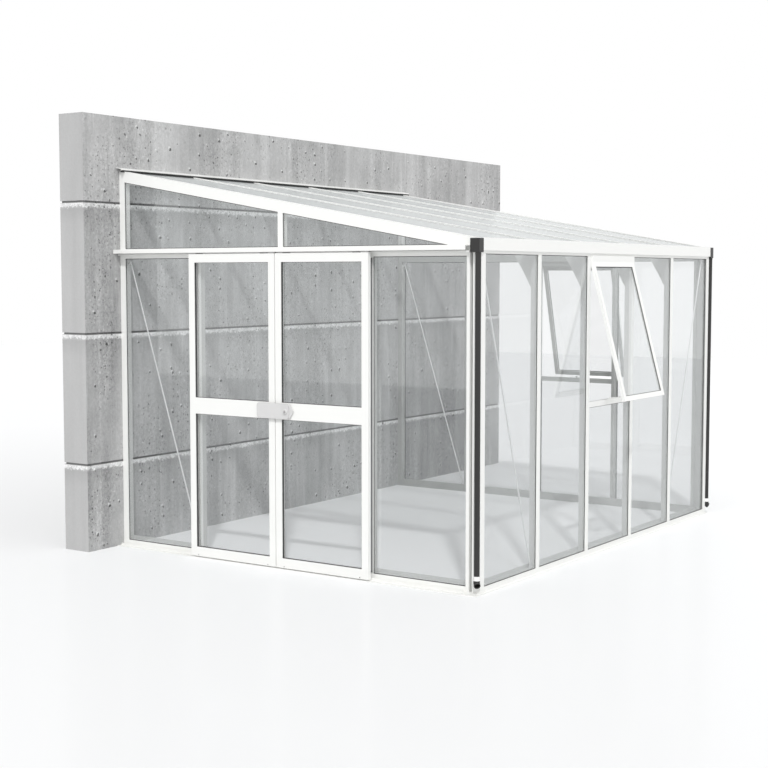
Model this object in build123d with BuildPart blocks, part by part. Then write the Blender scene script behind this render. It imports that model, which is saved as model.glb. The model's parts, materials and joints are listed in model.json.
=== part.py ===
from build123d import *
import math
import os

os.makedirs("parts", exist_ok=True)

# Lean-to greenhouse of white aluminium bars on a free-standing concrete wall.
# The origin is the middle of the wall's foot. X runs along the wall, the house stands on its -Y side.
# House measures: x from the door gable's outer plane along the wall, y from the wall face outwards.

# Concrete wall
wall_length = 5780
wall_thickness = 225
wall_height = 3030
wall_lead = 350
joint_levels = (603, 1512, 2420)
joint_height = 13
joint_depth = 9

# Grid of the glass house
bay = 710
front_bays = 5
side_bays = 4
door_first = 1
gable_middle = 2
door_last = 3
corner_line = 32
wall_line = 8
corner_return = 12
corner_groove = 20
groove_depth = 35
corner_cover_set = 9
corner_depth = 77

# Glazing bars
cover_width = 40
cover_depth = 10
glass = 4
web_width = 10
body_width = 24
body_depth = 45
pane_gap = 7
bite = 6

# Ground sills
sill_height = 40
sill_toe = 12
toe_rise = 6
upstand = 23
upstand_wall = 8
door_toe = 70
door_toe_rise = 4
rib_from = 24
rib_wall = 3
rib_height = 18
channel_floor = 8
channel_lip = 4
corner_plate = 8

# Wall posts and levels of the rails
wall_cover = 45
wall_body = 40
wall_web = 36
wall_pane = 38
eaves_level = 2051
eaves_beam_height = 19
rail_drop = 13
rail_height = 67

# Roof
eaves_rise = 99
roof_rise = 514
roof_lip = 16
roof_cover = 6
rafter_depth = 85
ridge_beam_width = 40
ridge_beam_drop = 108
roof_glass_top_gap = 3
glass_overhang = 22
flashing_reach = 51
flashing_rise = 1
flashing_nose = 15
flashing_sheet = 3
flashing_left = 34
flashing_right = 40
seal_width = 8
seal_set = 1
upper_pane_tip = 15

# Gutter and downpipes
gutter_sheet = 3
gutter_width = 76
gutter_back = 5
fascia_wall = 4
fascia_lip = 4
fascia_drop = 4
outlet_length = 51
outlet_width = 64
outlet_wall = 3
outlet_lift = 7
outlet_height = 84
outlet_margin = 4
pipe_diameter = 35
pipe_wall = 2
pipe_out = 32
pipe_set = 3
pipe_foot = 88
spigot_diameter = 37
spigot_reach = 14
shoe_diameter = 40
shoe_clearance = 0.3
shoe_top = 93.5
shoe_radius = 30
shoe_bend = 60
clip_diameter = 45
clip_bottom = 94
clip_height = 26
clip_gap = 0.3
clip_lug = 16

# Braces and brackets
rod_diameter = 10
rod_depth = 40
gusset = 46
gusset_sheet = 4
rod_inset = 20
knee_leg = 200
knee_arm = 176
knee_tip = 10
knee_sag = 8
knee_sheet = 6

# Windows, held open
window_rail_drop = 1029
window_rail_height = 35
window_body = 30
sash_side_gap = 3
sash_length = 970
sash_bar = 34
sash_depth = 20
sash_proud = 12
sash_groove = 8
hinge_bar = 37
hinge_lip = 5
hinge_clear = 2
web_lap = 1
open_angle = 15
stay_width = 14
stay_sheet = 5
stay_seat = 7

# Door track and doors
track_end = 70
hood_front = 70
hood_sheet = 3
hood_lift = 22
hood_height = 27
ledge_lift = 9
ledge_reach = 26
bead_height = 10
bead_wall = 3
door_gap = 6
leaf_lap = 23
leaf_bottom = 9.5
leaf_lift = 13
leaf_inner = 34
leaf_depth = 28
stile = 50
top_rail = 57
bottom_rail = 64.5
middle_rail_bottom = 987
middle_rail_top = 1097
leaf_groove = 5

# Rollers and guides of the doors
roller_inset = 90
hanger_foot = 60
hanger_upstand = 40
hanger_height = 26
hanger_margin = 2
axle_lift = 8
axle_diameter = 6
wheel_diameter = 22
wheel_width = 8
groove_clearance = 0.5
bead_clearance = 0.3
guide_inset = 60
guide_width = 50
guide_top = 60
guide_plate = 3
guide_clear = 6
tongue_bottom = 13
tongue_wall = 4
tongue_reach = 16

# Latch over the meeting stiles
latch_inset = 96
latch_z = 1042.5
latch_left = 237
latch_right = 25
latch_height = 101
latch_stand = 5
hub_radius = 56
hub_depth = 8
plate_depth = 8
plate_corner = 22
cap_diameter = 36
cap_rise = 9
cap_chamfer = 3
pin_diameter = 10
pin_clearance = 0.3
boss_diameter = 30

# Derived places
gable_x = -wall_length / 2 + wall_lead
wall_y = -wall_thickness / 2
house_length = 2 * corner_line + front_bays * bay
side_end = wall_line + side_bays * bay
groove_start = side_end + corner_return
groove_end = groove_start + corner_groove
house_depth = groove_start + corner_depth
rail_bottom = eaves_level - rail_drop
rail_top = rail_bottom + rail_height
eaves_height = eaves_level + eaves_rise
ridge_height = eaves_height + roof_rise
fascia_top = eaves_height - fascia_drop
outlet_bottom = eaves_level + outlet_lift
outlet_top = outlet_bottom + outlet_height
spigot_bottom = outlet_bottom - spigot_reach
window_rail_bottom = eaves_level - window_rail_drop
window_rail_top = window_rail_bottom + window_rail_height
hood_bottom = eaves_level + hood_lift
hood_top = hood_bottom + hood_height
ledge_bottom = eaves_level + ledge_lift
bead_top = ledge_bottom + bead_height
axle_level = bead_top + axle_lift
leaf_width = bay + leaf_lap
leaf_top = eaves_level + leaf_lift
body_face = cover_depth + glass
frame_depth = body_face + body_depth
sill_inner = frame_depth + upstand_wall
half_cover = cover_width / 2
half_body = body_width / 2
half_web = web_width / 2
corner_inner = side_end - half_cover
slope = (ridge_height - eaves_height) / house_depth
slope_stretch = math.sqrt(1 + slope**2)
glass_drop = roof_lip + glass
bar_drop = roof_lip - roof_cover
bar_under = glass_drop + body_depth
eaves_beam_top = eaves_level + eaves_beam_height
beam_inner = house_depth - frame_depth
gutter_inner = beam_inner - gutter_back
gutter_outer = gutter_inner + gutter_width
knee_foot = eaves_level - knee_leg
outlet_front = gutter_outer + outlet_margin
pipe_x = -pipe_out
pipe_depth = house_depth - pipe_set
centre_plane = Plane.YZ.offset(gable_x + house_length / 2)
down_the_roof = (0, -1, -slope)


def front_line(i):
    return corner_line + i * bay


def side_line(i):
    return wall_line + i * bay


def roof(y, drop=0):
    return ridge_height - slope * y - drop


def roof_plane(drop):
    return Plane(origin=(0, wall_y, ridge_height - drop), x_dir=(1, 0, 0), z_dir=(0, -slope, 1))


# Section planes: local x runs into the house from the outer plane, local y runs up
def front_section(x):
    return Plane(origin=(gable_x + x, wall_y - house_depth, 0), x_dir=(0, 1, 0), z_dir=(1, 0, 0))


def gable_section(y):
    return Plane(origin=(gable_x, wall_y - y, 0), x_dir=(1, 0, 0), z_dir=(0, -1, 0))


# Side elevation across the house: local x runs outwards from the wall, an extrusion goes to -X
def cross_section(x):
    return Plane(origin=(gable_x + x, wall_y, 0), x_dir=(0, -1, 0), z_dir=(-1, 0, 0))


# Elevations that face out of the house
front_face = Plane(origin=(gable_x, wall_y - house_depth, 0), x_dir=(1, 0, 0), z_dir=(0, -1, 0))
door_face = Plane(origin=(gable_x, wall_y, 0), x_dir=(0, -1, 0), z_dir=(-1, 0, 0))
far_face = Plane(origin=(gable_x + house_length, wall_y, 0), x_dir=(0, 1, 0), z_dir=(1, 0, 0))


def plan(points, z, height, mode=Mode.ADD):
    with BuildSketch(Plane.XY.offset(z)) as profile:
        with BuildLine():
            Polyline(*[(gable_x + x, wall_y - y) for x, y in points], close=True)
        make_face()
    extrude(profile.sketch, amount=height, mode=mode)


def along(plane, length, points, mode=Mode.ADD):
    with BuildSketch(plane) as profile:
        with BuildLine():
            Polyline(*points, close=True)
        make_face()
    extrude(profile.sketch, amount=length, mode=mode)


def field(x0, y0, x1, y1, mode=Mode.ADD):
    with Locations(((x0 + x1) / 2, (y0 + y1) / 2)):
        Rectangle(x1 - x0, y1 - y0, mode=mode)


def block(plane, x0, y0, x1, y1, depth, mode=Mode.ADD):
    with BuildSketch(plane) as profile:
        field(x0, y0, x1, y1)
    extrude(profile.sketch, amount=depth, mode=mode)


def disc(plane, x, y, radius, depth, mode=Mode.ADD):
    with BuildSketch(plane) as profile:
        with Locations((x, y)):
            Circle(radius)
    extrude(profile.sketch, amount=depth, mode=mode)


# A glazing bar: outer cover strip, web between the panes, inner body
def glazing_bar(plane, length):
    with BuildSketch(plane) as profile:
        field(-half_cover, 0, half_cover, cover_depth)
        field(-half_web, 0, half_web, frame_depth)
        field(-half_body, body_face, half_body, frame_depth)
    extrude(profile.sketch, amount=length)


def side_post(line, bottom, top):
    place = (gable_x, wall_y - line, bottom)
    glazing_bar(Plane(origin=place, x_dir=(0, -1, 0), z_dir=(0, 0, 1)), top - bottom)


def side_rod(plane, left, top, right, bottom):
    start = plane.from_local_coords(Vector(left + rod_inset, top - rod_inset, 0))
    end = plane.from_local_coords(Vector(right - rod_inset, bottom + rod_inset, 0))
    disc(Plane(origin=start, z_dir=end - start), 0, 0, rod_diameter / 2, (end - start).length)
    sheet = plane.offset(-gusset_sheet / 2)
    along(sheet, gusset_sheet, [(left, top), (left + gusset, top), (left, top - gusset)])
    along(sheet, gusset_sheet, [(right, bottom), (right - gusset, bottom), (right, bottom + gusset)])


def save(piece, name):
    piece.part.label = name
    export_step(piece.part, "parts/" + name + ".step")


# Concrete wall with three horizontal joints
with BuildPart() as wall:
    with BuildSketch():
        Rectangle(wall_length, wall_thickness)
    extrude(amount=wall_height)
    for level in joint_levels:
        with BuildSketch(Plane.XY.offset(level)):
            Rectangle(wall_length, wall_thickness)
            Rectangle(wall_length - 2 * joint_depth, wall_thickness - 2 * joint_depth, mode=Mode.SUBTRACT)
        extrude(amount=joint_height, mode=Mode.SUBTRACT)
save(wall, "concrete_wall")

# Ground sills: sloped toe outside, groove for the panes, upstand inside
sill_head = [
    (0, sill_height),
    (cover_depth, sill_height),
    (cover_depth, sill_height - bite),
    (body_face, sill_height - bite),
    (body_face, sill_height),
    (frame_depth, sill_height),
    (frame_depth, sill_height + upstand),
    (sill_inner, sill_height + upstand),
    (sill_inner, 0),
]
plain_toe = [(-sill_toe, 0), (-sill_toe, toe_rise), (-sill_toe / 4, 2 * toe_rise)]
track_toe = [
    (-door_toe, 0),
    (-door_toe, door_toe_rise),
    (-rib_from - rib_wall, door_toe_rise),
    (-rib_from - rib_wall, rib_height),
    (-rib_from, rib_height),
    (-rib_from, channel_floor),
    (-channel_lip, channel_floor),
    (-channel_lip, rib_height),
]

with BuildPart() as front_sill:
    along(front_section(sill_inner), house_length - 2 * sill_inner, plain_toe + sill_head)
save(front_sill, "front_sill")

with BuildPart() as door_sill:
    along(gable_section(0), corner_inner, track_toe + sill_head)
    block(
        gable_section(side_line(door_first) + half_body),
        frame_depth,
        sill_height,
        sill_inner,
        sill_height + upstand,
        2 * bay - body_width,
        mode=Mode.SUBTRACT,
    )
save(door_sill, "door_gable_sill")

with BuildPart() as far_sill:
    along(gable_section(0), corner_inner, plain_toe + sill_head)
    mirror(about=centre_plane, mode=Mode.REPLACE)
save(far_sill, "far_gable_sill")

# Corner pieces of the ground frame, with the foot of the corner post's groove
with BuildPart() as base_corners:
    for side, reach in ((1, door_toe), (-1, sill_toe)):
        start = 0 if side == 1 else house_length
        raised = [
            (0, corner_inner),
            (0, groove_start),
            (groove_depth, groove_start),
            (groove_depth, groove_end),
            (0, groove_end),
            (0, house_depth),
            (sill_inner, house_depth),
            (sill_inner, corner_inner),
        ]
        plate = [
            (-reach, corner_inner),
            (-reach, house_depth + sill_toe),
            (sill_inner, house_depth + sill_toe),
            (sill_inner, corner_inner),
        ]
        stub = [
            (frame_depth, corner_inner),
            (frame_depth, beam_inner),
            (sill_inner, beam_inner),
            (sill_inner, corner_inner),
        ]
        plan([(start + side * x, y) for x, y in plate], 0, corner_plate)
        plan([(start + side * x, y) for x, y in raised], 0, sill_height)
        plan([(start + side * x, y) for x, y in stub], 0, sill_height + upstand)
        for x0, y0, x1, y1 in (
            (cover_depth, corner_inner, body_face, side_end - half_web),
            (corner_line + half_web, house_depth - body_face, sill_inner, house_depth - cover_depth),
        ):
            groove = [(x0, y0), (x1, y0), (x1, y1), (x0, y1)]
            groove = [(start + side * x, y) for x, y in groove]
            plan(groove, sill_height - bite, bite, mode=Mode.SUBTRACT)
save(base_corners, "base_corners")

# Posts against the wall, cut to the rafters
with BuildPart() as wall_posts:
    plan(
        [
            (0, 0),
            (0, wall_cover),
            (cover_depth, wall_cover),
            (cover_depth, wall_web),
            (body_face, wall_web),
            (body_face, wall_body),
            (frame_depth, wall_body),
            (frame_depth, 0),
        ],
        sill_height,
        ridge_height - sill_height,
    )
    split(bisect_by=roof_plane(rafter_depth), keep=Keep.BOTTOM)
    mirror(about=centre_plane)
save(wall_posts, "wall_posts")

# Corner posts in two parts, with a shallow groove between them on the gable side
corner_leg = [
    (frame_depth, side_end + half_body),
    (frame_depth, side_end - half_body),
    (body_face, side_end - half_body),
    (body_face, side_end - half_web),
    (cover_depth, side_end - half_web),
    (cover_depth, corner_inner + corner_cover_set),
    (0, corner_inner + corner_cover_set),
    (0, side_end + half_body),
]
corner_return_leg = [
    (groove_depth, side_end + half_body),
    (groove_depth, groove_end),
    (0, groove_end),
    (0, house_depth),
    (corner_line + half_cover, house_depth),
    (corner_line + half_cover, house_depth - cover_depth),
    (corner_line + half_web, house_depth - cover_depth),
    (corner_line + half_web, house_depth - body_face),
    (corner_line + half_body, house_depth - body_face),
    (corner_line + half_body, side_end + half_body),
]
with BuildPart() as corner_posts:
    plan(
        corner_leg,
        sill_height,
        ridge_height - sill_height,
    )
    split(bisect_by=roof_plane(rafter_depth), keep=Keep.BOTTOM)
    mirror(about=centre_plane)
save(corner_posts, "corner_posts")

with BuildPart() as corner_returns:
    plan(
        corner_return_leg,
        sill_height,
        eaves_level - sill_height,
    )
    mirror(about=centre_plane)
save(corner_returns, "corner_returns")

# Posts between the bays
with BuildPart() as front_posts:
    for i in range(1, front_bays):
        place = (gable_x + front_line(i), wall_y - house_depth, sill_height)
        upright = Plane(origin=place, x_dir=(1, 0, 0), z_dir=(0, 0, 1))
        glazing_bar(upright, eaves_level - sill_height)
save(front_posts, "front_posts")

with BuildPart() as door_jambs:
    side_post(side_line(door_first), sill_height, rail_bottom)
    side_post(side_line(door_last), sill_height, rail_bottom)
save(door_jambs, "door_jambs")

with BuildPart() as far_posts:
    for i in range(1, side_bays):
        side_post(side_line(i), sill_height, rail_bottom)
    mirror(about=centre_plane, mode=Mode.REPLACE)
save(far_posts, "far_gable_posts")

# Rails of the gables at eaves height, the near one over the doors
with BuildPart() as gable_rails:
    with BuildSketch(gable_section(wall_cover)):
        field(0, rail_bottom, cover_depth, rail_top)
        field(0, rail_bottom + bite, frame_depth, rail_top - bite)
        field(body_face, rail_bottom, frame_depth, rail_top)
    extrude(amount=corner_inner - wall_cover)
    block(gable_section(corner_inner), 0, rail_bottom, cover_depth, rail_top, corner_cover_set)
    block(
        gable_section(wall_body),
        body_face,
        rail_bottom,
        frame_depth,
        rail_top,
        side_end - half_body - wall_body,
    )
    split(bisect_by=roof_plane(rafter_depth), keep=Keep.BOTTOM)
    mirror(about=centre_plane)
save(gable_rails, "gable_rails")

# Upright bars in the gable triangles
with BuildPart() as upper_bars:
    side_post(side_line(gable_middle), rail_top, ridge_height)
    split(bisect_by=roof_plane(rafter_depth), keep=Keep.BOTTOM)
    mirror(about=centre_plane)
save(upper_bars, "gable_upper_bars")

# End rafters: ledge for the roof sheet, groove under for the gable panes
with BuildPart() as rafters:
    rafter_length = gutter_inner * slope_stretch
    with BuildSketch(gable_section(0)):
        field(0, ridge_height - rafter_depth, frame_depth, ridge_height - glass_drop)
        field(0, ridge_height - glass_drop, corner_line + half_web, ridge_height - roof_lip)
        groove_top = ridge_height - rafter_depth + bite
        field(cover_depth, ridge_height - rafter_depth, body_face, groove_top, mode=Mode.SUBTRACT)
    extrude(amount=rafter_length, dir=down_the_roof)
    mirror(about=centre_plane)
save(rafters, "gable_rafters")

# Beam on the wall that carries the tops of the roof bars
with BuildPart() as ridge_beam:
    ridge_beam_bottom = ridge_height - ridge_beam_drop
    along(
        cross_section(house_length - frame_depth),
        house_length - 2 * frame_depth,
        [
            (0, ridge_beam_bottom),
            (ridge_beam_width, ridge_beam_bottom),
            (ridge_beam_width, roof(ridge_beam_width, glass_drop)),
            (0, roof(0, glass_drop)),
        ],
    )
save(ridge_beam, "ridge_beam")

# Glazing bars of the roof
with BuildPart() as roof_bars:
    for i in range(1, front_bays):
        line = front_line(i)
        with BuildSketch(gable_section(ridge_beam_width)):
            head = roof(ridge_beam_width)
            field(line - half_web, head - bar_under, line + half_web, head - roof_lip)
            field(line - half_body, head - bar_under, line + half_body, head - glass_drop)
        extrude(amount=(gutter_inner - ridge_beam_width) * slope_stretch, dir=down_the_roof)
save(roof_bars, "roof_bars")

# Flat caps that clamp the roof sheets, wider ones on the end rafters
with BuildPart() as roof_caps:
    strip_start = flashing_reach - seal_set
    strip_end = gutter_inner + glass_overhang
    with BuildSketch(gable_section(strip_start)):
        head = roof(strip_start)
        for i in range(1, front_bays):
            line = front_line(i)
            field(line - half_cover, head - roof_lip, line + half_cover, head - bar_drop)
    extrude(amount=(strip_end - strip_start) * slope_stretch, dir=down_the_roof)
    end_width = corner_line + half_cover
    with BuildSketch(gable_section(strip_start)):
        for x0 in (0, house_length - end_width):
            field(x0, head - roof_lip, x0 + end_width, head - bar_drop)
    extrude(amount=(house_depth - strip_start) * slope_stretch, dir=down_the_roof)
save(roof_caps, "roof_caps")


def roof_sheet(x0, x1, y0, y1):
    along(
        cross_section(x1),
        x1 - x0,
        [
            (y0, roof(y0, glass_drop)),
            (y1, roof(y1, glass_drop)),
            (y1, roof(y1, roof_lip)),
            (y0, roof(y0, roof_lip)),
        ],
    )


with BuildPart() as roof_glass:
    for i in range(front_bays):
        x0 = front_line(i) + pane_gap
        x1 = front_line(i + 1) - pane_gap
        roof_sheet(x0, x1, roof_glass_top_gap, gutter_inner + glass_overhang)
save(roof_glass, "roof_glass")

# Flashing on the wall with a hanging nose, and the rubber seal below it
with BuildPart() as flashing:
    flashing_top = ridge_height + flashing_rise
    nose_bottom = flashing_top - flashing_nose
    inner_nose = flashing_reach - flashing_sheet
    fall = slope * flashing_reach
    along(
        cross_section(house_length + flashing_right),
        house_length + flashing_left + flashing_right,
        [
            (0, flashing_top + fall),
            (flashing_reach, flashing_top),
            (flashing_reach, nose_bottom),
            (inner_nose, nose_bottom),
            (inner_nose, flashing_top - flashing_sheet),
            (0, flashing_top + fall - flashing_sheet),
        ],
    )
save(flashing, "ridge_flashing")

with BuildPart() as seal:
    seal_outer = flashing_reach - seal_set
    seal_inner = seal_outer - seal_width
    along(
        cross_section(house_length + flashing_right),
        house_length + flashing_left + flashing_right,
        [
            (seal_inner, roof(seal_inner, roof_lip)),
            (seal_outer, roof(seal_outer, roof_lip)),
            (seal_outer, nose_bottom),
            (seal_inner, nose_bottom),
        ],
    )
save(seal, "flashing_seal")

# Eaves beam on the front posts, grooved below for the panes
with BuildPart() as eaves_beam:
    block(front_section(0), 0, eaves_level, frame_depth, eaves_beam_top, house_length)
    block(
        front_section(corner_line + half_web),
        cover_depth,
        eaves_level,
        body_face,
        eaves_level + bite,
        house_length - 2 * (corner_line + half_web),
        mode=Mode.SUBTRACT,
    )
save(eaves_beam, "eaves_beam")

# Gutter on the beam: floor, back under the roof sheets, and a fascia with a turned-in lip
trough_floor = eaves_beam_top + gutter_sheet
trough_outer = gutter_outer - fascia_wall
with BuildPart() as gutter_floor:
    block(
        cross_section(house_length),
        gutter_inner,
        eaves_beam_top,
        trough_outer,
        trough_floor,
        house_length,
    )
save(gutter_floor, "gutter_floor")

with BuildPart() as gutter_back:
    trough_inner = gutter_inner + gutter_sheet
    along(
        cross_section(house_length),
        house_length,
        [
            (gutter_inner, trough_floor),
            (trough_inner, trough_floor),
            (trough_inner, roof(trough_inner, glass_drop)),
            (gutter_inner, roof(gutter_inner, glass_drop)),
        ],
    )
save(gutter_back, "gutter_back")

with BuildPart() as gutter_fascia:
    with BuildSketch(cross_section(house_length)):
        field(trough_outer, eaves_beam_top, gutter_outer, fascia_top)
        field(trough_outer - fascia_lip, fascia_top - gutter_sheet, gutter_outer, fascia_top)
    extrude(amount=house_length)
save(gutter_fascia, "gutter_fascia")

# Outlet boxes at the gutter's ends, open above and towards it, with a spigot for the pipe
with BuildPart() as outlets:
    outlet_back = outlet_front - outlet_width
    outlet_floor = outlet_bottom + outlet_wall
    with BuildSketch(cross_section(0)):
        field(outlet_back, outlet_bottom, outlet_front, outlet_top)
    extrude(amount=outlet_length)
    fillet(outlets.edges().filter_by(Axis.X).group_by(Axis.Z)[0], radius=2 * outlet_wall)
    block(
        cross_section(0),
        outlet_back + outlet_wall,
        outlet_floor,
        outlet_front - outlet_wall,
        outlet_top,
        outlet_length - outlet_wall,
        mode=Mode.SUBTRACT,
    )
    pipe_place = (gable_x + pipe_x, wall_y - pipe_depth)
    spigot_plane = Plane.XY.offset(spigot_bottom)
    disc(spigot_plane, *pipe_place, spigot_diameter / 2, outlet_bottom - spigot_bottom)
    disc(
        spigot_plane,
        *pipe_place,
        pipe_diameter / 2,
        outlet_bottom - spigot_bottom,
        mode=Mode.SUBTRACT,
    )
    bore = pipe_diameter / 2 - pipe_wall
    disc(Plane.XY.offset(outlet_bottom), *pipe_place, bore, outlet_wall, mode=Mode.SUBTRACT)
    mirror(about=centre_plane)
save(outlets, "gutter_outlets")

# Downpipes beside the gables
with BuildPart() as downpipes:
    with BuildSketch(Plane.XY.offset(pipe_foot)):
        with Locations((gable_x + pipe_x, wall_y - pipe_depth)):
            Circle(pipe_diameter / 2)
            Circle(pipe_diameter / 2 - pipe_wall, mode=Mode.SUBTRACT)
    extrude(amount=outlet_bottom - pipe_foot)
    mirror(about=centre_plane)
save(downpipes, "downpipes")

# Shoes that throw the water outwards, cornerwise off the foot
with BuildPart() as shoes:
    shoe_start = (gable_x + pipe_x, wall_y - pipe_depth, shoe_top)
    shoe_plane = Plane(origin=shoe_start, x_dir=(-1, -1, 0), z_dir=(-1, 1, 0))
    with BuildLine(shoe_plane):
        drop_line = Line((0, 0), (0, pipe_foot - shoe_top))
        JernArc(drop_line @ 1, drop_line % 1, shoe_radius, shoe_bend)
    with BuildSketch(Plane(origin=shoe_start, z_dir=(0, 0, -1))):
        Circle(shoe_diameter / 2)
        Circle(pipe_diameter / 2 + shoe_clearance, mode=Mode.SUBTRACT)
    sweep()
    mirror(about=centre_plane)
save(shoes, "pipe_shoes")

# Clips that hold the pipes to the corner posts
with BuildPart() as clips:
    with BuildSketch(Plane.XY.offset(clip_bottom)):
        with Locations((gable_x + pipe_x, wall_y - pipe_depth)):
            Circle(clip_diameter / 2)
        lug_start = pipe_x + pipe_diameter / 2
        lug_middle = house_depth - clip_lug / 2
        with Locations((gable_x + lug_start / 2, wall_y - lug_middle)):
            Rectangle(-lug_start, clip_lug)
        with Locations((gable_x + pipe_x, wall_y - pipe_depth)):
            Circle(pipe_diameter / 2 + clip_gap, mode=Mode.SUBTRACT)
    extrude(amount=clip_height)
    mirror(about=centre_plane)
save(clips, "pipe_clips")


# Panes of the front and the gables
def pane(face, x0, z0, x1, z1):
    block(face.offset(-body_face), x0, z0, x1, z1, glass)


pane_foot = sill_height - bite
window_bay = 2
side_window_bay = 2

with BuildPart() as front_glass:
    for i in range(front_bays):
        head = window_rail_bottom if i == window_bay else eaves_level
        pane(
            front_face,
            front_line(i) + pane_gap,
            pane_foot,
            front_line(i + 1) - pane_gap,
            head + bite,
        )
save(front_glass, "front_glass")


def upper_panes():
    foot = rail_top - bite
    drop = rafter_depth - bite + foot + upper_pane_tip
    tip_end = min((ridge_height - drop) / slope, side_end - pane_gap)
    for y0, y1 in (
        (wall_pane, side_line(gable_middle) - pane_gap),
        (side_line(gable_middle) + pane_gap, tip_end),
    ):
        along(
            door_face.offset(-body_face),
            glass,
            [
                (y0, foot),
                (y1, foot),
                (y1, roof(y1, rafter_depth - bite)),
                (y0, roof(y0, rafter_depth - bite)),
            ],
        )


with BuildPart() as door_gable_glass:
    pane(door_face, wall_pane, pane_foot, side_line(door_first) - pane_gap, rail_bottom + bite)
    pane(door_face, side_line(door_last) + pane_gap, pane_foot, side_end - pane_gap, rail_bottom + bite)
    upper_panes()
save(door_gable_glass, "door_gable_glass")

with BuildPart() as far_gable_glass:
    for i in range(side_bays):
        left = wall_pane if i == 0 else side_line(i) + pane_gap
        head = window_rail_bottom if i == side_window_bay else rail_bottom
        pane(door_face, left, pane_foot, side_line(i + 1) - pane_gap, head + bite)
    upper_panes()
    mirror(about=centre_plane, mode=Mode.REPLACE)
save(far_gable_glass, "far_gable_glass")


# Top-hung windows, held open by a stay. Each stands in a bay, under the given head.
def window(face, middle, head, name):
    cover_clear = bay / 2 - half_cover
    body_clear = bay / 2 - half_body
    hinge_bottom = head - hinge_bar
    sash_half = cover_clear - sash_side_gap
    hinge_place = Location((middle, hinge_bottom, sash_proud), (-open_angle, 0, 0))
    sash_plane = Plane(face.location * hinge_place)

    def rail(bottom, top, proud, side_gap, groove):
        left = middle - cover_clear + side_gap
        right = middle + cover_clear - side_gap
        block(face.offset(-cover_depth), left, bottom, right, top, cover_depth + proud)
        web = face.offset(-body_face - web_lap)
        block(web, left, bottom + groove, right, top, glass + 2 * web_lap)
        block(
            face.offset(-body_face - window_body),
            middle - body_clear,
            bottom,
            middle + body_clear,
            top,
            window_body,
        )

    with BuildPart() as frame:
        rail(window_rail_bottom, window_rail_top, 0, 0, bite)
        rail(hinge_bottom, head, sash_proud, hinge_clear, 0)
        block(
            face,
            middle - cover_clear + hinge_clear,
            hinge_bottom,
            middle + cover_clear - hinge_clear,
            head + hinge_lip,
            sash_proud,
        )
    save(frame, name + "_frame")

    groove_low = sash_plane.offset(-sash_groove - glass)
    glass_half = sash_half - sash_bar + bite
    glass_low = -sash_length + sash_bar - bite
    glass_high = -sash_bar + bite
    with BuildPart() as sash:
        with BuildSketch(sash_plane.offset(-sash_depth)):
            field(-sash_half, -sash_length, sash_half, sash_depth)
            field(
                -sash_half + sash_bar,
                -sash_length + sash_bar,
                sash_half - sash_bar,
                -sash_bar,
                mode=Mode.SUBTRACT,
            )
        extrude(amount=sash_depth)
        split(bisect_by=Plane.XY.offset(hinge_bottom), keep=Keep.BOTTOM)
        block(groove_low, -glass_half, glass_low, glass_half, glass_high, glass, mode=Mode.SUBTRACT)
    save(sash, name + "_sash")

    with BuildPart() as sash_glass:
        block(groove_low, -glass_half, glass_low, glass_half, glass_high, glass)
    save(sash_glass, name + "_glass")

    # Stay: a small seat on the rail and a flat bar out to the bottom of the sash
    seat = face.from_local_coords(Vector(middle, window_rail_top, -body_face))
    reach_point = sash_plane.from_local_coords(Vector(0, -sash_length + sash_bar / 2, 0))
    bar_start = seat + Vector(0, 0, stay_seat)
    bar_plane = Plane(origin=bar_start, x_dir=face.x_dir, z_dir=reach_point - bar_start)
    with BuildPart() as stay:
        with BuildSketch(bar_plane):
            Rectangle(stay_width, stay_sheet)
        extrude(amount=(reach_point - bar_start).length)
        split(bisect_by=sash_plane.offset(-sash_depth), keep=Keep.BOTTOM)
        block(
            face.offset(-body_face),
            middle - stay_width / 2,
            window_rail_top,
            middle + stay_width / 2,
            window_rail_top + stay_seat + stay_sheet,
            cover_depth,
        )
    save(stay, name + "_stay")


window(front_face, front_line(window_bay) + bay / 2, eaves_level, "front_window")
window(far_face, -side_line(side_window_bay) - bay / 2, rail_bottom, "side_window")

# Diagonal rods with corner gussets in the end bays of the front and beside the wall
with BuildPart() as braces:
    side_rod(
        door_face.offset(-rod_depth),
        wall_body,
        rail_bottom,
        side_line(door_first) - half_body,
        sill_height,
    )
    side_rod(
        front_face.offset(-rod_depth),
        corner_line + half_body,
        eaves_level,
        front_line(1) - half_body,
        sill_height,
    )
    mirror(about=centre_plane)
save(braces, "wind_braces")

# Curved brackets between the front posts and the roof bars
with BuildPart() as knees:
    arm_start = beam_inner - knee_arm
    foot = (beam_inner - knee_tip, knee_foot)
    tip = (arm_start, roof(arm_start, bar_under) - knee_tip)
    chord = Vector(foot[0] - tip[0], foot[1] - tip[1])
    middle = (
        (foot[0] + tip[0]) / 2 - chord.Y / chord.length * knee_sag,
        (foot[1] + tip[1]) / 2 + chord.X / chord.length * knee_sag,
    )
    for i in range(1, front_bays):
        with BuildSketch(cross_section(front_line(i) + knee_sheet / 2)):
            with BuildLine():
                Polyline(
                    foot,
                    (beam_inner, knee_foot),
                    (beam_inner, eaves_beam_top),
                    (gutter_inner, eaves_beam_top),
                    (gutter_inner, roof(gutter_inner, bar_under)),
                    (arm_start, roof(arm_start, bar_under)),
                    tip,
                )
                ThreePointArc(tip, middle, foot)
            make_face()
        extrude(amount=knee_sheet)
save(knees, "knee_brackets")

# Hooded door track on the header: top and fascia, back, and a ledge with the rollers' bead
track_length = house_depth - track_end
hood_inner = hood_front - hood_sheet
with BuildPart() as track_fascia:
    block(gable_section(0), -hood_front, hood_bottom, -hood_inner, hood_top, track_length)
save(track_fascia, "track_fascia")

with BuildPart() as track_top:
    block(gable_section(0), -hood_inner, hood_top - hood_sheet, 0, hood_top, track_length)
save(track_top, "track_top")

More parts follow.
